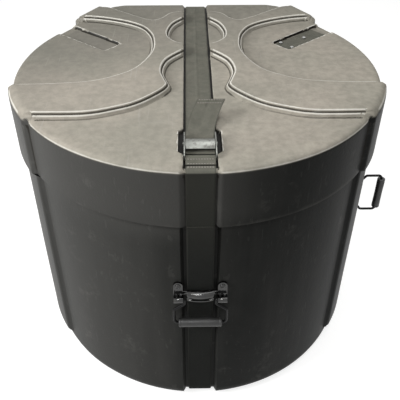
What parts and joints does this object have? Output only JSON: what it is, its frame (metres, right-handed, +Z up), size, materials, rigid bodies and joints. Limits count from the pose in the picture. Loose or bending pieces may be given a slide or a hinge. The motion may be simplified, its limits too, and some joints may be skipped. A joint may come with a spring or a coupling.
{
  "type": "drum case",
  "caption": "Moulded drum case, round with a flat heel at the back, with a telescoping lid, a web strap drawn tight by a cam buckle, and wire bail handles with plastic grips.",
  "frame": {"origin": "centre of the object's bounding box in plan, at the level of the flat base", "axes": "+Z up, -Y towards the front handle and the buckle, +X towards the side handle"},
  "size_m": [0.7848, 0.7238, 0.6271],
  "materials": {
    "shell": "rotomoulded polyethylene, worn and dusty",
    "webbing": "woven polypropylene webbing",
    "steel": "bright plated steel",
    "wire": "black coated steel wire",
    "grip": "smooth black plastic",
    "rivet": "plated, dulled"
  },
  "bodies": {
    "case": {"body_shell": "shell", "body_strap": "webbing", "front_handle_bracket": "steel", "front_handle_rivet_1": "rivet", "front_handle_rivet_2": "rivet", "front_handle_washer_1": "rivet", "front_handle_washer_2": "rivet", "side_handle_bracket": "steel", "side_handle_rivet_1": "rivet", "side_handle_rivet_2": "rivet", "side_handle_washer_1": "rivet", "side_handle_washer_2": "rivet"},
    "lid": {"lid_shell": "shell", "front_strap": "webbing", "rear_strap": "webbing", "buckle_frame": "steel", "buckle_pin": "steel", "pocket_patch": "webbing", "pocket_rivet_1": "rivet", "pocket_rivet_2": "rivet", "pocket_rivet_3": "rivet"},
    "lever": {"buckle_lever": "steel", "buckle_spring": "steel"},
    "front_bail": {"front_handle_bail": "wire", "front_handle_grip": "grip"},
    "side_bail": {"side_handle_bail": "wire", "side_handle_grip": "grip"}
  },
  "joints": [
    {"name": "lid_lift", "type": "slide", "parent": "case", "child": "lid", "axis": [0, 0, 1], "range_m": [0, 0.6]},
    {"name": "lever_press", "type": "hinge", "parent": "lid", "child": "lever", "pos_m": [-0.0364, -0.2856, 0.605], "axis": [1, 0, 0], "range_deg": [0, 20], "stiffness_Nm_per_rad": 0.1, "springref_deg": -28.65},
    {"name": "front_bail_swing", "type": "hinge", "parent": "case", "child": "front_bail", "pos_m": [-0.0364, -0.3531, 0.318], "axis": [-1, 0, 0], "range_deg": [0, 175]},
    {"name": "side_bail_swing", "type": "hinge", "parent": "case", "child": "side_bail", "pos_m": [0.3226, 0.0059, 0.281], "axis": [0, 0, 1], "range_deg": [-93, 93]}
  ]
}
